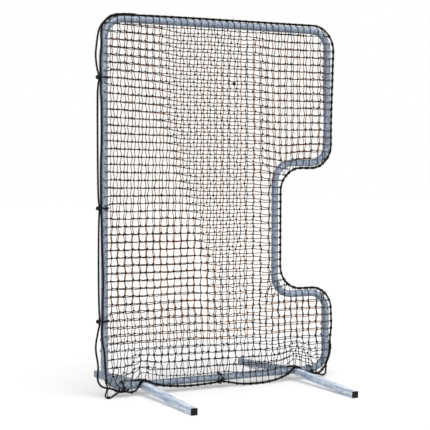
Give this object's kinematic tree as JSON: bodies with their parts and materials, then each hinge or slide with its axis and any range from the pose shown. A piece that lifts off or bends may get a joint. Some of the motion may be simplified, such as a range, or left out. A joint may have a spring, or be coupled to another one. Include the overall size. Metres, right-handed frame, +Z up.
{
  "type": "pitching target net",
  "caption": "Freestanding pitcher's screen: round steel tube frame with a side notch, netted front and back, on removable square tube legs.",
  "frame": {"origin": "on the ground, below the middle of the screen's overall width and depth", "axes": "+Z up, +X across the frame to its notched side, -Y towards the front, where the ties' ends and the slack rope show"},
  "size_m": [1.6062, 1.33, 2.1869],
  "materials": {
    "galvanised_tube": "galvanised, dull",
    "leg_steel": "galvanised, pale",
    "zinc_hardware": "zinc plated",
    "spring_steel": "oiled",
    "black_plastic": "moulded, matt",
    "blue_nylon": "nylon",
    "net_twine": "knotted twine, dull",
    "border_rope": "braided rope, dull",
    "lashing_twine": "whipped twine, dull",
    "elastic_cord": "braided elastic cord, dull"
  },
  "bodies": {
    "frame": {"border_rope": "border_rope", "bottom_section": "galvanised_tube", "button_spring_front_left": "spring_steel", "button_spring_front_right": "spring_steel", "button_spring_rear_left": "spring_steel", "button_spring_rear_right": "spring_steel", "left_post": "galvanised_tube", "leg_cap_front_left": "black_plastic", "leg_cap_front_right": "black_plastic", "leg_cap_rear_left": "black_plastic", "leg_cap_rear_right": "black_plastic", "leg_front_left": "leg_steel", "leg_front_right": "leg_steel", "leg_rear_left": "leg_steel", "leg_rear_right": "leg_steel", "leg_stub_front_left": "galvanised_tube", "leg_stub_front_right": "galvanised_tube", "leg_stub_rear_left": "galvanised_tube", "leg_stub_rear_right": "galvanised_tube", "lock_nuts": "zinc_hardware", "net_back_lower": "net_twine", "net_back_main": "net_twine", "net_back_upper": "net_twine", "net_front_lower": "net_twine", "net_front_main": "net_twine", "net_front_upper": "net_twine", "notch_section": "galvanised_tube", "nut_inserts": "blue_nylon", "opening_rope_bottom": "border_rope", "opening_rope_side": "border_rope", "opening_rope_slack": "border_rope", "post_tie_balls": "black_plastic", "post_tie_loops": "elastic_cord", "rail_tie_balls": "black_plastic", "rail_tie_loops": "elastic_cord", "rope_lashings": "lashing_twine", "splice_bolts": "zinc_hardware", "splice_sleeve_lower_left": "galvanised_tube", "splice_sleeve_lower_right": "galvanised_tube", "splice_sleeve_upper_left": "galvanised_tube", "splice_sleeve_upper_right": "galvanised_tube", "top_section": "galvanised_tube"},
    "button_front_left": {"snap_button_front_left": "zinc_hardware"},
    "button_front_right": {"snap_button_front_right": "zinc_hardware"},
    "button_rear_left": {"snap_button_rear_left": "zinc_hardware"},
    "button_rear_right": {"snap_button_rear_right": "zinc_hardware"}
  },
  "joints": [
    {"name": "press_button_front_left", "type": "slide", "parent": "frame", "child": "button_front_left", "axis": [0, 0.0576, -0.9983], "range_m": [0, 0.0045], "stiffness_N_per_m": 1200, "springref_m": -0.004, "deforming": ["button_spring_front_left"]},
    {"name": "press_button_front_right", "type": "slide", "parent": "frame", "child": "button_front_right", "axis": [0, 0.0576, -0.9983], "range_m": [0, 0.0045], "stiffness_N_per_m": 1200, "springref_m": -0.004, "deforming": ["button_spring_front_right"]},
    {"name": "press_button_rear_left", "type": "slide", "parent": "frame", "child": "button_rear_left", "axis": [0, -0.0576, -0.9983], "range_m": [0, 0.0045], "stiffness_N_per_m": 1200, "springref_m": -0.004, "deforming": ["button_spring_rear_left"]},
    {"name": "press_button_rear_right", "type": "slide", "parent": "frame", "child": "button_rear_right", "axis": [0, -0.0576, -0.9983], "range_m": [0, 0.0045], "stiffness_N_per_m": 1200, "springref_m": -0.004, "deforming": ["button_spring_rear_right"]}
  ]
}
